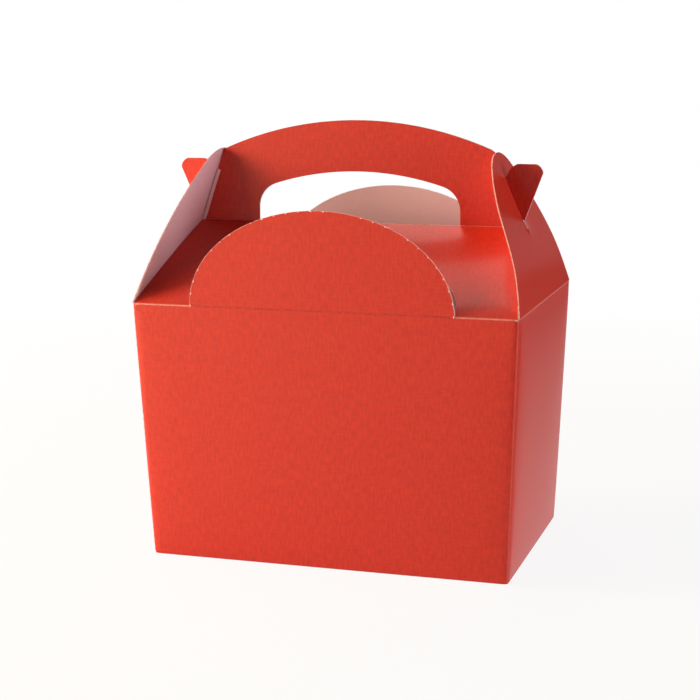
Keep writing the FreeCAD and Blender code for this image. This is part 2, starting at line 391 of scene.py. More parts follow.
@dataclass(frozen=True)
class BoxSizes:
    """Driving sizes of the folded box in millimetres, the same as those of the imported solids."""

    shoulder_width: float = 152.0
    shoulder_depth: float = 101.5
    shoulder_height: float = 101.5
    base_width: float = 143.6
    base_depth: float = 93.0
    board: float = 0.45
    ply_gap: float = 0.05
    edge_clearance: float = 0.3
    crease_rise: float = 27.6
    handle_gap: float = 0.3
    flap_lean: float = 18.5

    @property
    def front_lean(self) -> float:
        """Outward lean of the front and back walls in degrees."""
        return math.degrees(math.atan2((self.shoulder_depth - self.base_depth) / 2, self.shoulder_height))

    @property
    def side_lean(self) -> float:
        """Outward lean of the side walls in degrees."""
        return math.degrees(math.atan2((self.shoulder_width - self.base_width) / 2, self.shoulder_height))

    @property
    def handle_face(self) -> float:
        """Distance of a handle's outer face from the middle of the box."""
        return self.handle_gap / 2 + self.board

    @property
    def roof_run(self) -> float:
        """Level distance from a shoulder crease to the handle crease."""
        return self.shoulder_depth / 2 - self.handle_face

    @property
    def roof_slope(self) -> float:
        """Slope of the roof panels in degrees."""
        return math.degrees(math.atan2(self.crease_rise, self.roof_run))

    @property
    def roof_length(self) -> float:
        """Length of a roof panel up its slope."""
        return math.hypot(self.roof_run, self.crease_rise)

    @property
    def flap_tangent(self) -> float:
        """How far an end flap leans in for each millimetre of height."""
        return math.tan(math.radians(self.flap_lean))

    @property
    def roof_low_half(self) -> float:
        """Half the width of a roof panel at its shoulder crease."""
        inset = self.board / math.cos(math.radians(self.flap_lean)) + self.edge_clearance
        return self.shoulder_width / 2 - inset

    def half_between_flaps(self, height: float) -> float:
        """Return half the room between the end flaps at a height above the shoulder."""
        return self.roof_low_half - height * self.flap_tangent


SIZES = BoxSizes()


@dataclass(frozen=True)
class FlapBow:
    """How an end flap bends out of its plane, in millimetres.

    Attributes:
        swell: rise at half its height.
        curl: rise of the lower half and fall of the upper one.
        tuck: fall of the tip.
        front: share of the bend at the front edge.
        rear: share of the bend at the rear edge.
    """

    swell: float
    curl: float
    tuck: float
    front: float
    rear: float

    def rise(self, forward: float, up: float) -> float:
        """Work out the bend at a point of the flap.

        Args:
            forward: distance in front of the flap's middle.
            up: distance up from its crease.

        Returns:
            The rise out of the flap's plane.
        """
        share = min(1.0, max(0.0, up / EndFlaps.height))
        bend = (self.swell * math.sin(math.pi * share) + self.curl * math.sin(2 * math.pi * share)
                - self.tuck * share ** 2)
        weight = (self.front + self.rear) / 2 + (self.front - self.rear) * forward / SIZES.shoulder_depth
        return bend * weight


FLAP_BOWS = {Wall.RIGHT: FlapBow(1.9, 1.1, 1.7, 1.0, 0.3), Wall.LEFT: FlapBow(0.4, 0.0, 0.0, 1.0, 1.0)}


def plane_of(wall: Wall, out: float, height: float, roll: float) -> Matrix:
    """Place a panel's outer face.

    Args:
        wall: the side that the panel belongs to.
        out: distance of the panel's lower edge from the box's axis, in millimetres.
        height: height of that edge, in millimetres.
        roll: turn about the edge in degrees, 0 lying flat and 90 standing upright.

    Returns:
        The matrix from sheet coordinates in millimetres to the box's frame in metres.
    """
    turn = Euler((math.radians(roll), 0.0, math.radians(wall.value)), "XYZ").to_matrix()
    place = wall.outward(out) + Vector((0.0, 0.0, height))
    return Matrix.Scale(MM, 4) @ Matrix.Translation(place) @ turn.to_4x4()


@dataclass(frozen=True)
class Fold:
    """A straight crease at the edge of a sheet.

    Attributes:
        start: first end of the crease on the sheet, in millimetres.
        end: last end; the sheet lies to the left of the way from start to end.
        turn: angle in degrees between this sheet and its neighbour, half of which bends this sheet's edge.
        radius: outside radius of the bend.
        wear: how pale the lacquer has cracked along it, from 0 to 1.
        score: how dark the painted shade along the pressed scoring line is, from 0 to 1.
        margin: how far past its ends a point still counts as beside it.
    """

    start: Point
    end: Point
    turn: float = 0.0
    radius: float = 0.9
    wear: float = 0.0
    score: float = 0.0
    margin: float = 0.4

    @property
    def inward(self) -> Vector:
        """Unit direction from the crease into the sheet."""
        along = (Vector(self.end) - Vector(self.start)).normalized()
        return Vector((-along.y, along.x))

    @property
    def reach(self) -> float:
        """Width of the bent strip."""
        return self.radius * math.tan(math.radians(self.turn) / 2)

    def distance(self, point: Vector) -> float:
        """Return how far a point of the sheet lies from the crease's line."""
        return (point - Vector(self.start)).dot(self.inward)

    def beside(self, point: Vector) -> bool:
        """Say whether a point lies within the crease's length.

        Args:
            point: a flat point of the sheet.

        Returns:
            Whether it does, give or take the margin.
        """
        _, share = intersect_point_line(point, Vector(self.start), Vector(self.end))
        slack = self.margin / math.dist(self.start, self.end)
        return -slack <= share <= 1.0 + slack

    def tilt(self, point: Vector) -> float:
        """Work out how far the bend tilts the sheet.

        Args:
            point: a flat point of the sheet.

        Returns:
            The angle in radians, none outside the bent strip.
        """
        gap = self.distance(point)
        if not self.turn or gap >= self.reach or not self.beside(point):
            return 0.0
        return math.radians(self.turn) / 2 * (1.0 - gap / self.reach)


def arc(centre: Point, radius: float, start: float, end: float, steps: int) -> list[Point]:
    """Return points of a circular arc, ends included, from one angle to another in degrees."""
    turns = [math.radians(start + (end - start) * i / steps) for i in range(steps + 1)]
    return [(centre[0] + radius * math.cos(t), centre[1] + radius * math.sin(t)) for t in turns]


def arc_through(first: Point, last: Point, radius: float, steps: int) -> list[Point]:
    """Draw the shorter arc that turns left from one point to another.

    Args:
        first: where it starts.
        last: where it ends.
        radius: its radius.
        steps: number of its chords.

    Returns:
        The arc's points, ends included.
    """
    a, b = Vector(first), Vector(last)
    chord = b - a
    left = Vector((-chord.y, chord.x)).normalized()
    centre = (a + b) / 2 + left * math.sqrt(radius ** 2 - (chord.length / 2) ** 2)
    start, end = (math.degrees(math.atan2(p.y - centre.y, p.x - centre.x)) for p in (a, b))
    return arc(tuple(centre), radius, start, end + 360.0 if end < start else end, steps)


def crown(half: float, foot: float, top: float, steps: int) -> list[Point]:
    """Return the points of a low arch from its right foot over to its left."""
    sag = top - foot
    return arc_through((half, foot), (-half, foot), (half ** 2 + sag ** 2) / 2 / sag, steps)


def flipped(points: Sequence[Point]) -> list[Point]:
    """Return the mirror image of a line, listed the other way round."""
    return [(-x, y) for x, y in reversed(points)]


def trapezoid(low_half: float, high_half: float, low: float, high: float) -> list[Point]:
    """Return the corners of a panel that is symmetric about its middle."""
    return [(-low_half, low), (low_half, low), (high_half, high), (-high_half, high)]


def divided(corners: Sequence[Point], step: float) -> list[Point]:
    """Divide the sides of a closed outline.

    Args:
        corners: the outline's corners.
        step: longest side that is left whole.

    Returns:
        The outline's points.
    """
    points: list[Point] = []
    for a, b in zip(corners, [*corners[1:], corners[0]]):
        parts = max(1, math.ceil(math.dist(a, b) / step))
        points.extend((a[0] + (b[0] - a[0]) * i / parts, a[1] + (b[1] - a[1]) * i / parts)
                      for i in range(parts))
    return points


def inside(point: Point | Vector, outline: Sequence[Point]) -> bool:
    """Say whether a point lies inside a closed outline.

    Args:
        point: the point.
        outline: the outline's points.

    Returns:
        Whether it does.
    """
    x, y = point
    found = False
    for (ax, ay), (bx, by) in zip(outline, [*outline[1:], outline[0]]):
        if (ay > y) != (by > y) and x < (bx - ax) * (y - ay) / (by - ay) + ax:
            found = not found
    return found


def near_outline(point: Point, outline: Sequence[Point], margin: float) -> bool:
    """Say whether a point lies closer than a margin to an outline's points."""
    return any(abs(point[0] - x) < margin and abs(point[1] - y) < margin for x, y in outline)


def pillow(distance: float, width: float) -> float:
    """Return how far a sheet has swelled to its full bow at a distance from an edge that holds it."""
    return 1.0 - math.exp(-max(0.0, distance) / width)


def ripple(x: float, y: float, spread: float, seed: float) -> float:
    """Return the board's unevenness at a point, from -1 to 1, by its width and the sheet's own seed."""
    return noise.noise(Vector((x / spread, y / spread, seed)))


def finish_piece(piece: Object, body: str, node: str | None = None) -> None:
    """Let a piece ride on a body and stand for its solid.

    Args:
        piece: the finished object.
        body: the body that carries it.
        node: the solid that it replaces, if any.
    """
    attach(piece, body)
    if node:
        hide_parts(node)
    LOG.info("%s rides on %s, %d faces", piece.name, body, len(piece.data.polygons))


@dataclass
class Sheet:
    """One panel of the folded blank, drawn flat and then bent at its creases.

    Attributes:
        name: name of the finished piece.
        outline: corners of the panel, anticlockwise, seen from outside, in millimetres.
        plane: matrix of the outer face.
        holes: outlines cut out of the panel.
        folds: creases along its edges.
        warp: rise of the outer face above its plane, in millimetres.
        step: spacing of the mesh.
    """

    name: str
    outline: Sequence[Point]
    plane: Matrix
    holes: Sequence[Sequence[Point]] = ()
    folds: Sequence[Fold] = ()
    warp: Warp | None = None
    step: float = 3.0

    FOLD_ROWS = (0.12, 0.3, 0.55, 0.9, 1.5)
    ROW_MARGIN = 0.05
    GRID_MARGIN = 0.45
    INNER_RELIEF = 0.3
    SLIVER = 0.02
    WELD = 1e-5

    def build(self, finishes: Sequence[Material], body: str, node: str) -> None:
        """Make the board as a closed mesh, at the origin, with its place in its mesh.

        Args:
            finishes: materials of the outside, the inside and the cut edge.
            body: the body that carries it.
            node: the solid that it replaces.
        """
        flat, triangles = self._triangulate()
        outer = [self._bent(p) for p in flat]
        inner = [o - self._normal(p) * SIZES.board + self._relief(p) for o, p in zip(outer, flat)]
        count = len(flat)
        rim = self._rim(triangles)
        faces = [list(t) for t in triangles]
        faces += [[c + count, b + count, a + count] for a, b, c in triangles]
        faces += [[b, a, a + count, b + count] for a, b in rim]
        slots = [0] * len(triangles) + [1] * len(triangles) + [2] * len(rim)
        if self.plane.determinant() < 0:
            faces = [face[::-1] for face in faces]
        mesh = bpy.data.meshes.new(self.name)
        mesh.from_pydata([self.plane @ p for p in outer + inner], [], faces)
        for material in finishes:
            mesh.materials.append(material)
        mesh.polygons.foreach_set("material_index", slots)
        mesh.polygons.foreach_set("use_smooth", [True] * len(faces))
        self._write_attributes(mesh, flat)
        self._mark_sharp(mesh)
        mesh.validate()
        piece = bpy.data.objects.new(self.name, mesh)
        bpy.context.scene.collection.objects.link(piece)
        finish_piece(piece, body, node)

    def _triangulate(self) -> tuple[list[Vector], list[Triangle]]:
        """Cut the flat sheet into triangles.

        Returns:
            The sheet's flat points and its triangles.
        """
        loops = [divided(loop, self.step) for loop in (self.outline, *self.holes)]
        rim = [point for loop in loops for point in loop]
        edges: list[tuple[int, int]] = []
        for loop in loops:
            first = len(edges)
            edges.extend((first + i, first + (i + 1) % len(loop)) for i in range(len(loop)))

        def on_board(point: Point | Vector) -> bool:
            """Say whether a point lies inside the outline and outside the holes."""
            return inside(point, loops[0]) and not any(inside(point, hole) for hole in loops[1:])

        points = list(rim)
        for spots, margin in ((self._fold_points(), self.ROW_MARGIN),
                              (self._grid_points(), self.step * self.GRID_MARGIN)):
            points.extend(spot for spot in spots if on_board(spot) and not near_outline(spot, rim, margin))
        result = delaunay_2d_cdt([Vector(p) for p in points], edges, [], 0, self.WELD)
        flat = [Vector(p) for p in result[0]]
        triangles = []
        for face in result[2]:
            a, b, c = (flat[i] for i in face)
            turn = (b - a).cross(c - a)
            longest = max((b - a).length, (c - b).length, (a - c).length)
            if abs(turn) > self.SLIVER * longest and on_board((a + b + c) / 3):
                triangles.append(tuple(face) if turn > 0 else tuple(reversed(face)))
        used = sorted({i for triangle in triangles for i in triangle})
        place = {old: new for new, old in enumerate(used)}
        return [flat[i] for i in used], [tuple(place[i] for i in triangle) for triangle in triangles]

    def _fold_points(self) -> list[Point]:
        """Lay rows of points along the creases, close enough to bend smoothly.

        Returns:
            The points.
        """
        points: list[Point] = []
        for fold in self.folds:
            start, end = Vector(fold.start), Vector(fold.end)
            parts = max(2, math.ceil((end - start).length / self.step))
            points.extend(tuple(start.lerp(end, (i + 0.5) / parts) + fold.inward * row)
                          for row in self.FOLD_ROWS for i in range(parts))
        return points

    def _grid_points(self) -> list[Point]:
        """Lay a square grid over the sheet.

        Returns:
            The grid's points.
        """
        xs, ys = zip(*self.outline)
        columns, rows = (math.ceil((max(v) - min(v)) / self.step) for v in (xs, ys))
        return [(min(xs) + (i + 0.5) * self.step, min(ys) + (j + 0.5) * self.step)
                for i in range(columns) for j in range(rows)]

    def _bent(self, point: Vector) -> Vector:
        """Fold the outer face at its creases.

        Args:
            point: a flat point of the sheet.

        Returns:
            Where it lies once the creases are folded.
        """
        place = Vector((*point, self.warp(*point) if self.warp else 0.0))
        for fold in self.folds:
            angle = fold.tilt(point)
            if angle:
                shift = fold.reach - fold.radius * math.sin(angle) - fold.distance(point)
                place += Vector((*(fold.inward * shift), -fold.radius * (1.0 - math.cos(angle))))
        return place

    def _normal(self, point: Vector) -> Vector:
        """Return the outer face's normal at a flat point, tilted by the creases beside it."""
        lean = sum((fold.inward * math.tan(fold.tilt(point)) for fold in self.folds), Vector((0.0, 0.0)))
        return Vector((-lean.x, -lean.y, 1.0)).normalized()

    def _relief(self, point: Vector) -> Vector:
        """Draw the inner face back from the creases, which leaves it room to fold.

        Args:
            point: a flat point of the sheet.

        Returns:
            How far it is drawn back.
        """
        shift = (0.0, 0.0)
        for fold in self.folds:
            gap = max(0.0, fold.distance(point))
            if gap < self.FOLD_ROWS[-1] and fold.beside(point):
                pull = fold.inward * self.INNER_RELIEF * (1.0 - gap / self.FOLD_ROWS[-1])
                shift = tuple(max(pair, key=abs) for pair in zip(shift, pull))
        return Vector((*shift, 0.0))

    @staticmethod
    def _rim(triangles: Iterable[Triangle]) -> list[tuple[int, int]]:
        """Return the edges that have one triangle, in that triangle's direction."""
        sides = dict.fromkeys(side for a, b, c in triangles for side in ((a, b), (b, c), (c, a)))
        return [side for side in sides if (side[1], side[0]) not in sides]

    def _write_attributes(self, mesh: Mesh, flat: list[Vector]) -> None:
        """Store flat coordinates in metres, and each crease mark's strength and distance, on the points; the
        marks are the wear and the painted shade along scoring lines.

        Args:
            mesh: the board's mesh.
            flat: the flat points of one face; the other has the same.
        """
        rows = [(p.x * MM, p.y * MM, 0.0) for p in flat]
        layer = mesh.attributes.new("flat", "FLOAT_VECTOR", "POINT")
        layer.data.foreach_set("vector", [v for row in rows + rows for v in row])
        # The wear is the lacquer's own; the dark mark along scoring lines is painted shade.
        for name in ("wear", "score"):
            marks = [self._nearest_mark(p, name) for p in flat]
            for suffix, values in zip(("", "_gap"), zip(*marks)):
                layer = mesh.attributes.new(name + suffix, "FLOAT", "POINT")
                layer.data.foreach_set("value", [*values, *values])

    def _nearest_mark(self, point: Vector, name: str) -> tuple[float, float]:
        """Find the nearest crease that has a mark.

        Args:
            point: a flat point of the sheet.
            name: the mark's name: the wear, or the painted shade along a scoring line.

        Returns:
            The mark's strength and its distance in metres.
        """
        best = (0.0, 1.0)
        for fold in self.folds:
            gap = max(0.0, fold.distance(point)) * MM
            if getattr(fold, name) and gap < best[1] and fold.beside(point):
                best = (getattr(fold, name), gap)
        return best

    @staticmethod
    def _mark_sharp(mesh: Mesh) -> None:
        """Mark the edges where the finish changes as sharp.

        Args:
            mesh: the board's mesh.
        """
        touching: dict[tuple[int, int], set[int]] = {}
        for polygon in mesh.polygons:
            for key in polygon.edge_keys:
                touching.setdefault(key, set()).add(polygon.material_index)
        sharp = [len(touching[tuple(sorted(edge.vertices))]) > 1 for edge in mesh.edges]
        layer = mesh.attributes.new("sharp_edge", "BOOLEAN", "EDGE")
        layer.data.foreach_set("value", sharp)


@dataclass
class CartonBody:
    """The tapered walls, the folded base and the glued seam."""

    finishes: Sequence[Material]
    corner_radius: float = 1.6
    foot_radius: float = 0.9
    bow: float = 0.9
    corner_roll: float = 0.9
    corner_swell: float = 7.0
    foot_swell: float = 10.0
    uneven: float = 0.12
    uneven_spread: float = 38.0
    shoulder_room: float = 0.05
    least_room: float = 0.001
    top_gap: float = 0.01
    foot_wear: float = 0.12
    corner_wear: float = 0.16
    end_wear: float = 0.5
    shoulder_wear: float = 0.85
    seam_width: float = 12.0
    seam_end_inset: float = 6.0
    base_overlap: float = 14.0
    base_flap_reach: float = 46.0
    base_flap_taper: float = 12.0
    hidden_step: float = 6.0

    def build(self) -> None:
        """Make the walls, the seam tab and the base, all on the carton."""
        for wall in Wall:
            self._wall(wall)
        self._seam()
        self._base()

    def _wall(self, wall: Wall) -> None:
        """Make one wall with round corners, a bent foot and a slight bow.

        Args:
            wall: the side that it stands on.
        """
        s = SIZES
        facing = wall in GABLES
        low, high, out, lean, across = (
            (s.base_width / 2, s.shoulder_width / 2, s.base_depth / 2, s.front_lean, s.roof_slope) if facing
            else (s.base_depth / 2, s.shoulder_depth / 2, s.base_width / 2, s.side_lean, 90.0 - s.flap_lean))
        slant = s.shoulder_height / math.cos(math.radians(lean))
        corners = trapezoid(low, high, 0.0, slant - self.top_gap)
        folds = [Fold(corners[0], corners[1], 90.0, self.foot_radius, self.foot_wear),
                 Fold(corners[1], corners[2], 90.0, self.corner_radius, self.corner_wear),
                 Fold(corners[3], corners[0], 90.0, self.corner_radius, self.corner_wear),
                 *self._shoulder_folds(facing, high, slant, 90.0 + lean - across)]

        def swelled(x: float, y: float) -> float:
            """Work out the wall's bow, soft at the corners and kept within the shoulder's width.

            Args:
                x: distance from the wall's middle.
                y: distance up from its foot.

            Returns:
                The rise out of the wall's plane.
            """
            half = low + (high - low) * y / slant
            roll = self.corner_roll * pillow(half - abs(x), self.corner_swell)
            bow = self.bow * max(0.0, 1.0 - (x / half) ** 2)
            uneven = self.uneven * ripple(x, y, self.uneven_spread, wall.value)
            full = (roll + bow + uneven * roll) * pillow(y, self.foot_swell)
            room = max(self.least_room, (slant - y) * math.tan(math.radians(lean)) - self.shoulder_room)
            return room * (1.0 - math.exp(-full / room))

        node = wall.word + ("_panel" if facing else "_side_panel")
        plane = plane_of(wall, out, 0.0, 90.0 + lean)
        sheet = Sheet("board_" + node, corners, plane, folds=folds, warp=swelled)
        sheet.build(self.finishes, "carton", node)

    def _shoulder_folds(self, facing: bool, half: float, slant: float, turn: float) -> list[Fold]:
        """Crease a wall's top; under the half-moon it has no bend, only a scoring line darkened with painted
        shade.

        Args:
            facing: whether it is the front or back wall.
            half: half the wall's width there.
            slant: the wall's height along its slope.
            turn: angle in degrees between the wall and the panel above it.

        Returns:
            The creases, from the right.
        """
        if not facing:
            return [Fold((half, slant), (-half, slant), turn, wear=self.end_wear)]
        moon = HalfMoons.width / 2
        return [Fold((half, slant), (moon, slant), turn, wear=self.shoulder_wear),
                Fold((moon, slant), (-moon, slant), score=HalfMoons.score),
                Fold((-moon, slant), (-half, slant), turn, wear=self.shoulder_wear)]

    def _seam(self) -> None:
        """Make the glue tab inside the back wall."""
        s = SIZES
        slope = math.tan(math.radians(s.side_lean))
        cosine = math.cos(math.radians(s.front_lean))
        low, high = self.seam_end_inset, s.shoulder_height / cosine - self.seam_end_inset
        edge = s.base_width / 2 - self.corner_radius
        ends = ((low, self.seam_width), (low, 0.0), (high, 0.0), (high, self.seam_width))
        corners = [(edge + y * slope - inset, y) for y, inset in ends]
        behind = (s.board + s.ply_gap) / cosine
        plane = plane_of(Wall.BACK, s.base_depth / 2 - behind, 0.0, 90.0 + s.front_lean)
        tab = Sheet("board_seam_glue_tab", corners, plane, step=self.hidden_step)
        tab.build(self.finishes, "carton", "seam_glue_tab")

    def _base(self) -> None:
        """Make the four flaps of the folded base, one over another."""
        s = SIZES
        inset = s.board + self.foot_radius
        half, rear = s.base_width / 2 - inset, s.base_depth / 2 - inset
        panel = trapezoid(half, half, -rear, self.base_overlap / 2)
        flap = trapezoid(rear, rear - self.base_flap_taper, -half, self.base_flap_reach - half)
        layers = (("base_lock_panel", Wall.FRONT, panel, 0), ("base_right_flap", Wall.RIGHT, flap, 1),
                  ("base_left_flap", Wall.LEFT, flap, 1), ("base_main_panel", Wall.BACK, panel, 2))
        # The lacquered side of the base faces the floor, so each sheet is drawn from below.
        for node, wall, corners, layer in layers:
            under = plane_of(wall, 0.0, layer * (s.board + s.ply_gap), 180.0)
            upside = [(x, -y) for x, y in reversed(corners)]
            sheet = Sheet("board_" + node, upside, under, step=self.hidden_step)
            sheet.build(self.finishes, "carton", node)


@dataclass
class HalfMoons:
    """The half-moons that stand up out of the roof in the planes of the front and back walls."""

    finishes: Sequence[Material]
    width: float = 104.0
    height: float = 37.7
    base_gap: float = 0.01
    lean_back: float = 0.5
    uneven: float = 0.2
    uneven_spread: float = 45.0
    uneven_seed: float = 7.0
    held_height: float = 20.0
    # Strength of the painted shade along the scoring line at the half-moons' foot.
    score: float = 0.55
    arc_steps: int = 48

    @classmethod
    def curve(cls, grow: float = 0.0) -> list[Point]:
        """Draw the half ellipse of a half-moon's edge.

        Args:
            grow: how much wider and higher than the half-moon it is, for a kerf.

        Returns:
            Its points from the right foot to the left.
        """
        a, b = cls.width / 2 + grow, cls.height + grow
        turns = [math.pi * i / cls.arc_steps for i in range(cls.arc_steps + 1)]
        return [(a * math.cos(t), b * math.sin(t)) for t in turns]

    @staticmethod
    def plane(wall: Wall) -> Matrix:
        """Return the matrix of a half-moon's outer face."""
        return plane_of(wall, SIZES.shoulder_depth / 2, SIZES.shoulder_height, 90.0 + SIZES.front_lean)

    def rise(self, wall: Wall) -> Warp:
        """Bow a half-moon inwards, so that it stays within the box's depth.

        Args:
            wall: the side that it stands on.

        Returns:
            Its warp.
        """
        seed = wall.value + self.uneven_seed

        def bowed(x: float, y: float) -> float:
            """Return the rise at a point, uneven away from the crease."""
            held = self.uneven * min(1.0, y / self.held_height)
            return held * ripple(x, y, self.uneven_spread, seed) - self.lean_back * (y / self.height) ** 2

        return bowed

    def build(self) -> None:
        """Make both half-moons."""
        half = self.width / 2
        outline = [(-half, self.base_gap), (half, self.base_gap), *self.curve()[1:-1]]
        # The crease at the foot has no bend; painted shade draws its scoring line dark.
        folds = [Fold((-half, 0.0), (half, 0.0), score=self.score)]
        for wall in GABLES:
            sheet = Sheet("board_%s_half_moon" % wall.word, outline, self.plane(wall), folds=folds,
                          warp=self.rise(wall))
            sheet.build(self.finishes, wall.word + "_dome", wall.word + "_dome")


@dataclass
class GableRoof:
    """The two sloping roof panels with the openings that the half-moons leave."""

    finishes: Sequence[Material]
    kerf: float = 0.1
    crease_gap: float = 0.01
    bow: float = 0.8
    low_swell: float = 4.5
    high_swell: float = 10.0
    uneven: float = 0.12
    uneven_spread: float = 40.0
    uneven_seed: float = 3.0
    low_wear: float = 0.75
    high_wear: float = 0.6

    def build(self) -> None:
        """Make both roof panels."""
        s = SIZES
        low, high = self.crease_gap, s.roof_length - self.crease_gap
        half, top_half = s.roof_low_half, s.half_between_flaps(s.crease_rise)
        cut = HalfMoons.curve(self.kerf)
        foot = cut[0][0]
        arch = [p for p in reversed(cut) if p[1] > low]
        outline = [(-half, low), (-foot, low), *arch, (foot, low), (half, low),
                   (top_half, high), (-top_half, high)]
        turn = 90.0 + s.front_lean - s.roof_slope
        folds = [Fold((-half, 0.0), (-foot, 0.0), turn, wear=self.low_wear),
                 Fold((foot, 0.0), (half, 0.0), turn, wear=self.low_wear),
                 Fold((top_half, s.roof_length), (-top_half, s.roof_length), wear=self.high_wear)]
        for wall in GABLES:
            seed = wall.value + self.uneven_seed

            def bowed(x: float, y: float) -> float:
                """Return the roof's rise at a point, none along its creases."""
                full = self.bow + self.uneven * ripple(x, y, self.uneven_spread, seed)
                return full * pillow(y, self.low_swell) * pillow(high - y, self.high_swell)

            plane = plane_of(wall, s.shoulder_depth / 2, s.shoulder_height, s.roof_slope)
            sheet = Sheet("board_%s_roof" % wall.word, outline, plane, folds=folds, warp=bowed)
            sheet.build(self.finishes, wall.word + "_roof", wall.word + "_roof_panel")


@dataclass
class Handles:
    """The two handle panels that stand back to back, and the hooked ears at their ends."""

    finishes: Sequence[Material]
    height: float = 40.4
    end_height: float = 28.4
    hole_width: float = 83.4
    hole_height: float = 20.3
    hole_crown_radius: float = 115.0
    hole_corner_radius: float = 10.0
    foot_gap: float = 0.05
    ear_base_height: float = 3.4
    ear_root: float = 16.7
    ear_apex_drop: float = 1.5
    left_ear_extra: float = 1.0
    ear_neck: float = 1.3
    ear_reach: float = 14.3
    ear_hook: float = 3.3
    ear_hook_reach: float = 6.0
    ear_top_reach: float = 12.8
    ear_top_drop: float = 2.3
    ear_tip_drop: float = 6.4
    ear_hook_radius: float = 6.5
    ear_corner_radius: float = 4.0
    ear_step: float = 1.5
    crown_steps: int = 40
    hole_steps: int = 24
    corner_steps: int = 8

    def build(self) -> None:
        """Make both handles and their four ears."""
        for wall in GABLES:
            self._handle(wall)
            for end in ENDS:
                self._ear(wall, end)

    @staticmethod
    def plane(wall: Wall) -> Matrix:
        """Return the matrix of a handle's outer face."""
        return plane_of(wall, SIZES.handle_face, SIZES.shoulder_height + SIZES.crease_rise, 90.0)

    def _handle(self, wall: Wall) -> None:
        """Make one handle panel, an arch over the finger hole, trimmed where an end flap tucks in.

        Args:
            wall: the side that the handle faces.
        """
        s = SIZES
        foot = s.half_between_flaps(s.crease_rise)
        end = s.half_between_flaps(s.crease_rise + self.end_height)
        trims = [max(0.0, -FLAP_BOWS[side].rise(0.0, EndFlaps.height)) for side in ENDS]
        right, left = trims if wall is Wall.FRONT else reversed(trims)
        top = [(min(end - right, max(left - end, x)), y)
               for x, y in crown(end, self.end_height, self.height, self.crown_steps)]
        hole = self._hole()
        outline = [(foot, self.foot_gap), *top, (-foot, self.foot_gap), (-hole[0][0], self.foot_gap),
                   *reversed(hole), (hole[0][0], self.foot_gap)]
        node = wall.word + "_handle"
        Sheet("board_" + node, outline, self.plane(wall)).build(self.finishes, node, node)

    def _hole(self) -> list[Point]:
        """Draw the finger hole's edge.

        Returns:
            Its points from the right foot over to the left.
        """
        half, radius, corner = self.hole_width / 2, self.hole_crown_radius, self.hole_corner_radius
        middle = self.hole_height - radius
        x = half - corner
        y = middle + math.sqrt((radius - corner) ** 2 - x ** 2)
        lean = math.degrees(math.atan2(y - middle, x))
        right = arc((x, y), corner, 0.0, lean, self.corner_steps)
        top = arc((0.0, middle), radius, lean, 180.0 - lean, self.hole_steps)
        return [*right, *top[1:-1], *flipped(right)]

    def _ear(self, wall: Wall, end: Wall) -> None:
        """Make the hooked ear at one end of a handle.

        Args:
            wall: the side that the handle faces.
            end: the end of the box where the ear passes through a flap.
        """
        s = SIZES
        bow = FLAP_BOWS[end]
        low = s.crease_rise + self.ear_base_height
        station = low / math.cos(math.radians(s.flap_lean))
        extra = self.left_ear_extra if end is Wall.LEFT else 0.0
        hook = self.ear_root + self.ear_hook
        root = self.ear_neck + bow.rise(0.0, station + self.ear_root)
        apex = (self.ear_neck + bow.rise(0.0, station), -self.ear_apex_drop)
        tip = (self.ear_reach + extra, hook - self.ear_tip_drop)
        top = (self.ear_top_reach + extra, hook - self.ear_top_drop)
        inner = (self.ear_hook_reach + extra, hook)
        shape = [(s.ply_gap, 0.0), apex, *arc_through(tip, top, self.ear_corner_radius, self.corner_steps),
                 *arc_through(inner, (root, self.ear_root), self.ear_hook_radius, self.corner_steps),
                 (s.ply_gap, self.ear_root)]
        # The back handle has the box's right end on its own left.
        turned = 1 if (end is Wall.RIGHT) == (wall is Wall.FRONT) else -1
        lean = math.radians(s.flap_lean) * turned
        origin = Vector((turned * s.half_between_flaps(low), self.ear_base_height))

        def leaning(point: Point) -> Point:
            """Turn a point of the ear into the handle's own plane.

            Args:
                point: distances out from the end flap and up along it.

            Returns:
                The point on the handle's sheet.
            """
            x, y = turned * point[0], point[1]
            return (origin.x + x * math.cos(lean) - y * math.sin(lean),
                    origin.y + x * math.sin(lean) + y * math.cos(lean))

        outline = [leaning(p) for p in shape]
        if turned < 0:
            outline.reverse()
        node = "%s_%s_ear" % (wall.word, end.word)
        sheet = Sheet("board_" + node, outline, self.plane(wall), step=self.ear_step)
        sheet.build(self.finishes, wall.word + "_handle", node)


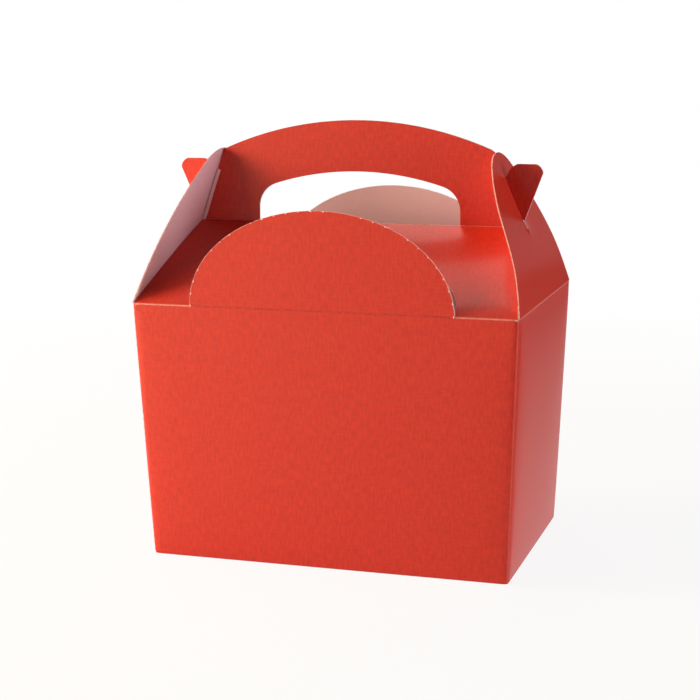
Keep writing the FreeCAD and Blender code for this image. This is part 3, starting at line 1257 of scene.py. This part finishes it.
@dataclass
class EndFlaps:
    """The arched flaps that lean in over the roof ends, each slotted for the ears."""

    finishes: Sequence[Material]
    height: float = 59.6
    neck_width: float = 34.0
    neck_height: float = 53.0
    side_radius: float = 118.0
    base_gap: float = 0.05
    crease_wear: float = 0.45
    slot_width: float = 1.5
    slot_low: float = 31.2
    slot_high: float = 49.8
    tail_length: float = 4.2
    tail_offset: float = 0.35
    tail_width: float = 0.3
    tail_lift: float = 0.45
    tail_lift_width: float = 2.5
    tail_slack: float = 0.01
    tail_fibre_top: float = 0.3
    lip_width: float = 1.8
    lip_low: float = 27.2
    lip_length: float = 23.7
    # Strength of the painted shadow along the lip's fold.
    lip_fold_shade: float = 0.8
    lip_step: float = 1.5
    side_steps: int = 20
    top_steps: int = 16
    lip_steps: int = 8

    def build(self) -> None:
        """Make both end flaps and the lips beside their slots."""
        for wall in ENDS:
            self._flap(wall)
            self._lip(wall)

    @staticmethod
    def plane(wall: Wall) -> Matrix:
        """Return the matrix of an end flap's outer face."""
        return plane_of(wall, SIZES.shoulder_width / 2, SIZES.shoulder_height, 90.0 - SIZES.flap_lean)

    def _flap(self, wall: Wall) -> None:
        """Make one end flap, bent as the ears pull it.

        Args:
            wall: the side that it belongs to.
        """
        half = SIZES.shoulder_depth / 2 - SIZES.edge_clearance
        neck = self.neck_width / 2
        right = arc_through((half, self.base_gap), (neck, self.neck_height), self.side_radius,
                            self.side_steps)
        top = crown(neck, self.neck_height, self.height, self.top_steps)
        outline = [*right, *top[1:-1], *flipped(right)]
        folds = [Fold((-half, 0.0), (half, 0.0), SIZES.side_lean + SIZES.flap_lean, wear=self.crease_wear)]

        def bent(x: float, y: float) -> float:
            """Work out how far the flap bends out, with the rear side of the slot's tail pushed up.

            Args:
                x: distance across from the flap's middle.
                y: distance up from its crease.

            Returns:
                The rise out of the flap's plane.
            """
            rise = FLAP_BOWS[wall].rise(-wall.rearward * x, y)
            beyond = wall.rearward * x - self.tail_offset - self.tail_width
            along = y - self.slot_low + self.tail_length / 2
            if beyond <= -self.tail_slack or abs(along) >= self.tail_length:
                return rise
            swing = math.cos(along * math.pi / 2 / self.tail_length)
            return rise + self.tail_lift * swing * math.exp(-max(0.0, beyond) / self.tail_lift_width)

        node = wall.word + "_end_flap"
        sheet = Sheet("board_" + node, outline, self.plane(wall), holes=[self._slot(wall)], folds=folds,
                      warp=bent)
        sheet.build(self.finishes, wall.word + "_flap", node)

    def _slot(self, wall: Wall) -> list[Point]:
        """Draw the slot with the thin jogged tail of its cut, the tail's side towards the rear.

        Args:
            wall: the side that the flap belongs to.

        Returns:
            The slot's corners.
        """
        half, low, high = self.slot_width / 2, self.slot_low, self.slot_high
        near, far = self.tail_offset, self.tail_offset + self.tail_width
        foot = low - self.tail_length
        corners = [(-half, low), (near, low), (near, foot), (far, foot), (far, low), (half, low),
                   (half, high), (-half, high)]
        return corners if wall is Wall.RIGHT else flipped(corners)

    def tail_line(self, wall: Wall) -> list[Vector]:
        """Follow the middle of a slot's tail.

        Args:
            wall: the side that the flap belongs to.

        Returns:
            The line's ends, in metres.
        """
        out = self.tail_offset + self.tail_width / 2
        levels = (self.slot_low + self.tail_fibre_top, self.slot_low - self.tail_length)
        plane, bow = self.plane(wall), FLAP_BOWS[wall]
        return [plane @ Vector((wall.rearward * out, y, bow.rise(-out, y))) for y in levels]

    def _lip(self, wall: Wall) -> None:
        """Make the narrow strip that is folded in at the slot's front edge, its bare side forwards.

        Args:
            wall: the side that the flap belongs to.
        """
        rear = wall.rearward
        # The strip's own axes are its depth into the box and the way up the flap, and it faces the rear.
        facing = Matrix(((0, 0, rear, 0), (0, 1, 0, 0), (-1, 0, 0, 0), (0, 0, 0, 1)))
        plane = self.plane(wall) @ Matrix.Translation((-rear * self.slot_width / 2, 0.0, 0.0)) @ facing
        sunk = SIZES.board + SIZES.ply_gap
        levels = [self.lip_low + self.lip_length * i / self.lip_steps for i in range(self.lip_steps + 1)]
        inner = [(sunk - FLAP_BOWS[wall].rise(0.0, y), y) for y in levels]
        outline = [*((d + self.lip_width, y) for d, y in inner), *reversed(inner)]
        # The dark line along the strip's fold is painted shadow.
        folds = [Fold(inner[-1], inner[0], score=self.lip_fold_shade)]
        node = wall.word + "_slot_lip"
        sheet = Sheet("board_" + node, outline, plane, folds=folds, step=self.lip_step)
        sheet.build(self.finishes, wall.word + "_flap", node)


def tuft_tree() -> NodeTree:
    """Build the node group that strews small tufts along a line.

    Returns:
        The node group.
    """
    tree = bpy.data.node_groups.new("tufts_along_line", "GeometryNodeTree")
    sockets = {"Line": "Geometry", "Places": "Int", "Share": "Float", "Size": "Vector", "Seed": "Int",
               "Finish": "Material"}
    for name, kind in sockets.items():
        tree.interface.new_socket(name, in_out="INPUT", socket_type="NodeSocket" + kind)
    tree.interface.new_socket("Tufts", in_out="OUTPUT", socket_type="NodeSocketGeometry")
    given = add_node(tree, "NodeGroupInput").outputs
    line = add_node(tree, "GeometryNodeMeshToCurve", inputs={0: given["Line"]})
    spots = add_node(tree, "GeometryNodeCurveToPoints", {"mode": "COUNT"},
                     {"Curve": line.outputs[0], "Count": given["Places"]})
    kept = add_node(tree, "FunctionNodeRandomValue", {"data_type": "BOOLEAN"},
                    {"Probability": given["Share"], "Seed": given["Seed"]})
    spread = add_node(tree, "FunctionNodeRandomValue", {"data_type": "FLOAT_VECTOR"},
                      {0: (LEAST_TUFT,) * 3, 1: (1.0,) * 3, "Seed": given["Seed"]})
    size = add_node(tree, "ShaderNodeVectorMath", {"operation": "MULTIPLY"},
                    {0: spread.outputs[0], 1: given["Size"]})
    tuft = add_node(tree, "GeometryNodeMeshIcoSphere", inputs={"Radius": 0.5, "Subdivisions": 1})
    strewn = add_node(tree, "GeometryNodeInstanceOnPoints",
                      inputs={"Points": spots.outputs["Points"], "Selection": kept.outputs[3],
                              "Instance": tuft.outputs[0], "Rotation": spots.outputs["Rotation"],
                              "Scale": size.outputs[0]})
    real = add_node(tree, "GeometryNodeRealizeInstances", inputs={0: strewn.outputs[0]})
    dressed = add_node(tree, "GeometryNodeSetMaterial",
                       inputs={"Geometry": real.outputs[0], "Material": given["Finish"]})
    add_node(tree, "NodeGroupOutput", inputs={0: dressed.outputs[0]})
    return tree


@dataclass(frozen=True)
class TuftRow:
    """How small tufts are strewn along a line.

    Attributes:
        places: places where a tuft may sit.
        share: share of the places that have one.
        width: widest tuft across the line, in millimetres.
        length: longest tuft along the line, in millimetres.
        seed: number that sets the row apart from another.
    """

    places: int
    share: float
    width: float
    length: float
    seed: int

    def strew(self, name: str, body: str, line: Sequence[Vector], tree: NodeTree, finish: Material) -> None:
        """Strew a row and make it a plain mesh.

        Args:
            name: name of the finished piece.
            body: the body that carries it.
            line: points of the line, in metres.
            tree: the node group that strews tufts.
            finish: the tufts' material.
        """
        mesh = bpy.data.meshes.new(name + "_line")
        mesh.from_pydata(list(line), [(i, i + 1) for i in range(len(line) - 1)], [])
        piece = bpy.data.objects.new(name, mesh)
        bpy.context.scene.collection.objects.link(piece)
        modifier = piece.modifiers.new("tufts", "NODES")
        modifier.node_group = tree
        settings = {"Places": self.places, "Share": self.share, "Seed": self.seed, "Finish": finish,
                    "Size": (self.width * MM, self.width * MM, self.length * MM)}
        for socket, value in settings.items():
            modifier[tree.interface.items_tree[socket].identifier] = value
        made = piece.evaluated_get(bpy.context.evaluated_depsgraph_get())
        plain = bpy.data.meshes.new_from_object(made)
        piece.modifiers.clear()
        piece.data = plain
        bpy.data.meshes.remove(mesh)
        finish_piece(piece, body)


@dataclass
class TornEdges:
    """White fibres where bridges were torn, frayed cut edges, and dark dashes of painted shadow along the
    half-moons' perforated crease.
    """

    fibre: Material
    edge: Material
    # Material of the dashes of painted shadow.
    score: Material
    moons: HalfMoons
    flaps: EndFlaps
    nick_inset: float = 0.25
    fray_inset: float = 0.05
    dash_margin: float = 2.0
    corner_inset: tuple[float, float, float] = (0.7, 0.3, 0.3)
    corner_length: float = 0.8
    nicks: TuftRow = TuftRow(30, 0.8, 0.7, 1.2, 11)
    fray: TuftRow = TuftRow(200, 0.9, 0.24, 2.6, 2)
    # Dark dashes of painted shadow, where the perforation's cuts are in shade.
    shadow_dashes: TuftRow = TuftRow(70, 0.55, 0.18, 1.6, 5)
    tail: TuftRow = TuftRow(9, 0.95, 0.5, 1.0, 4)
    corner: TuftRow = TuftRow(3, 1.0, 0.7, 0.9, 3)

    def build(self) -> None:
        """Make the frayed edges and nicks of both half-moons, the painted shadow dashes under them and the
        torn spots.
        """
        tree = tuft_tree()
        for wall in GABLES:
            plane, rise, body = self.moons.plane(wall), self.moons.rise(wall), wall.word + "_dome"
            nicked, frayed = ([plane @ Vector((x, y, rise(x, y))) for x, y in self.moons.curve(-inset)]
                              for inset in (self.nick_inset, self.fray_inset))
            half = self.moons.width / 2 - self.dash_margin
            crease = [plane @ Vector((x, 0.0, 0.0)) for x in (-half, half)]
            ending = "_%s_half_moon" % wall.word
            self.nicks.strew("torn_nicks" + ending, body, nicked, tree, self.fibre)
            self.fray.strew("frayed_edge" + ending, body, frayed, tree, self.edge)
            # The dashes are dark tufts of painted shadow laid along the crease.
            self.shadow_dashes.strew("score_dashes" + ending, "carton", crease, tree, self.score)
        for wall in ENDS:
            line = self.flaps.tail_line(wall)
            self.tail.strew("frayed_slot_tail_" + wall.word, wall.word + "_flap", line, tree, self.fibre)
        s = SIZES
        x, y, z = self.corner_inset
        corner = Vector((s.shoulder_width / 2 - x, y - s.shoulder_depth / 2, s.shoulder_height - z)) * MM
        torn = [corner, corner - Vector((self.corner_length, 0.0, 0.0)) * MM]
        self.corner.strew("torn_corner", "carton", torn, tree, self.fibre)


@dataclass(frozen=True)
class Lamp:
    """A soft square lamp aimed at the middle of the box.

    Attributes:
        name: what it does.
        place: where it hangs, in metres.
        size: its side, in metres.
        colour: its colour.
        watts: its power.
    """

    name: str
    place: tuple[float, float, float]
    size: float
    colour: str
    watts: float

    AIM = Vector((0.0, 0.0, 0.09))

    def hang(self) -> None:
        """Put the lamp into the scene, out of the camera's sight."""
        data = bpy.data.lights.new(self.name, "AREA")
        data.shape = "SQUARE"
        data.size = self.size
        data.energy = self.watts
        data.color = srgb(self.colour)[:3]
        lamp = bpy.data.objects.new(self.name, data)
        lamp.location = self.place
        lamp.rotation_mode = "QUATERNION"
        lamp.rotation_quaternion = (self.AIM - Vector(self.place)).to_track_quat("-Z", "Y")
        lamp.visible_camera = False
        bpy.context.scene.collection.objects.link(lamp)


@dataclass
class Studio:
    """The camera at the photograph's angle, the pale floor and the soft light."""

    azimuth: float = 17.490
    elevation: float = 10.833
    distance: float = 684.09
    roll: float = -0.472
    target: tuple[float, float, float] = (-3.924, 0.0, 77.319)
    focal_pixels: float = 1693.6
    clip: Span = (0.01, 100.0)
    white: str = "#FFFFFF"
    floor_half: float = 3.0
    floor_tone: str = "#F4F4F4"
    floor_glow: float = 0.9
    floor_fade: Span = (0.25, 0.6)
    floor_right: Span = (0.09, 0.21)
    world_strength: float = 0.01
    wall_top: Span = (0.3, 0.6)
    wall_right: Span = (0.0, 0.3)
    dim: float = 0.05
    lamps: tuple[Lamp, ...] = (
        Lamp("key", (-0.96, -0.28, 0.45), 0.45, "#FFE6BE", 12.2),
        Lamp("low_left", (-0.53, -0.57, 0.12), 0.30, "#FFE2B4", 2.6),
        Lamp("left_top", (-0.90, 0.00, 0.70), 0.50, "#FFE6C4", 4.0),
        Lamp("rear_top", (-0.34, 0.60, 1.20), 0.62, "#FFF0E4", 5.2),
        Lamp("right", (1.00, -0.10, 0.16), 0.40, "#FFF4F4", 5.4),
    )

    def build(self) -> None:
        """Set up the camera, the world, the floor and the lamps."""
        bpy.context.scene.view_settings.view_transform = "Standard"
        self._camera()
        self._world()
        self._floor()
        for lamp in self.lamps:
            lamp.hang()

    def _camera(self) -> None:
        """Place the camera where the photograph was taken from."""
        a, e = math.radians(self.azimuth), math.radians(self.elevation)
        back = Vector((math.sin(a) * math.cos(e), -math.cos(a) * math.cos(e), math.sin(e)))
        data = bpy.data.cameras.new("camera")
        data.sensor_width = SENSOR_MM
        data.lens = self.focal_pixels * SENSOR_MM / PHOTO_PIXELS
        data.clip_start, data.clip_end = self.clip
        camera = bpy.data.objects.new("camera", data)
        camera.location = (Vector(self.target) + back * self.distance) * MM
        upright = back.to_track_quat("Z", "Y")
        camera.rotation_mode = "QUATERNION"
        camera.rotation_quaternion = upright @ Euler((0.0, 0.0, math.radians(self.roll))).to_quaternion()
        bpy.context.scene.collection.objects.link(camera)
        bpy.context.scene.camera = camera

    def _white_sheet(self, tree: NodeTree, across: NodeSocket, edge: Span) -> tuple[NodeSocket, NodeSocket]:
        """Sort the rays that meet the white background.

        Args:
            tree: the world's or the floor's node tree.
            across: how far to the right a ray goes or lands.
            edge: where the white starts to fade in a gloss and where it has faded.

        Returns:
            One for rays that show the background straight, in a gloss or through glass, and the strength
            of its white, in full seen straight and dim in a gloss past the sheet's right edge.
        """
        rays = add_node(tree, "ShaderNodeLightPath").outputs
        faded = add_node(tree, "ShaderNodeMapRange",
                         inputs={0: across, 1: edge[0], 2: edge[1], 3: 1.0, 4: self.dim})
        found = []
        for others in ((rays["Is Glossy Ray"], rays["Is Transmission Ray"]), (faded.outputs[0],)):
            most = rays["Is Camera Ray"]
            for other in others:
                larger = add_node(tree, "ShaderNodeMath", {"operation": "MAXIMUM"}, {0: most, 1: other})
                most = larger.outputs[0]
            found.append(most)
        return tuple(found)

    def _world(self) -> None:
        """Surround the object with a white wall under a dim ceiling, and with little light of their own."""
        world = bpy.data.worlds.new("white_surround")
        world.use_nodes = True
        tree = world.node_tree
        tree.nodes.clear()
        toward = add_node(tree, "ShaderNodeTexCoord")
        way = add_node(tree, "ShaderNodeSeparateXYZ", inputs={0: toward.outputs["Generated"]}).outputs
        shown, white = self._white_sheet(tree, way["X"], self.wall_right)
        wall = add_node(tree, "ShaderNodeMapRange",
                        inputs={0: way["Z"], 1: self.wall_top[0], 2: self.wall_top[1], 3: white,
                                4: self.dim})
        strength = add_node(tree, "ShaderNodeMapRange",
                            inputs={0: shown, 3: self.world_strength, 4: wall.outputs[0]})
        surround = add_node(tree, "ShaderNodeBackground",
                            inputs={"Color": srgb(self.white), "Strength": strength.outputs[0]})
        add_node(tree, "ShaderNodeOutputWorld", inputs={0: surround.outputs[0]})
        bpy.context.scene.world = world

    def _floor(self) -> None:
        """Lay a pale floor that fades into the white surround and keeps a faint shadow."""
        half = self.floor_half
        mesh = bpy.data.meshes.new("floor")
        mesh.from_pydata([(-half, -half, 0), (half, -half, 0), (half, half, 0), (-half, half, 0)], [],
                         [(0, 1, 2, 3)])
        material, tree = new_material("white_paper_floor")
        place = add_node(tree, "ShaderNodeTexCoord").outputs["Object"]
        across = add_node(tree, "ShaderNodeSeparateXYZ", inputs={0: place}).outputs["X"]
        shown, white = self._white_sheet(tree, across, self.floor_right)
        far = add_node(tree, "ShaderNodeVectorMath", {"operation": "LENGTH"}, {0: place})
        glowing = add_node(tree, "ShaderNodeMapRange",
                           inputs={0: far.outputs["Value"], 1: self.floor_fade[0], 2: self.floor_fade[1],
                                   3: self.floor_glow, 4: 1.0})
        seen = add_node(tree, "ShaderNodeMath", {"operation": "MULTIPLY"}, {0: shown, 1: glowing.outputs[0]})
        paper = add_node(tree, "ShaderNodeBsdfDiffuse", inputs={"Color": srgb(self.floor_tone)})
        glow = add_node(tree, "ShaderNodeEmission", inputs={"Color": srgb(self.white), "Strength": white})
        mixed = add_node(tree, "ShaderNodeMixShader",
                         inputs={0: seen.outputs[0], 1: paper.outputs[0], 2: glow.outputs[0]})
        add_node(tree, "ShaderNodeOutputMaterial", inputs={0: mixed.outputs[0]})
        mesh.materials.append(material)
        floor = bpy.data.objects.new("floor", mesh)
        bpy.context.scene.collection.objects.link(floor)


def main() -> None:
    """Build the box's sub-assemblies in order and light them."""
    logging.basicConfig(level=logging.INFO, format="%(message)s")
    finishes = [LacqueredBoard().make(), BareBoard().make(), CutEdge().make()]
    carton, moons, roof, handles, flaps = (
        assembly(finishes) for assembly in (CartonBody, HalfMoons, GableRoof, Handles, EndFlaps))
    torn = TornEdges(TornFibre().make(), finishes[2], PaintedScoreShadow().make(), moons, flaps)
    for assembly in (carton, moons, roof, handles, flaps, torn, Studio()):
        assembly.build()


if __name__ == "__main__":
    main()
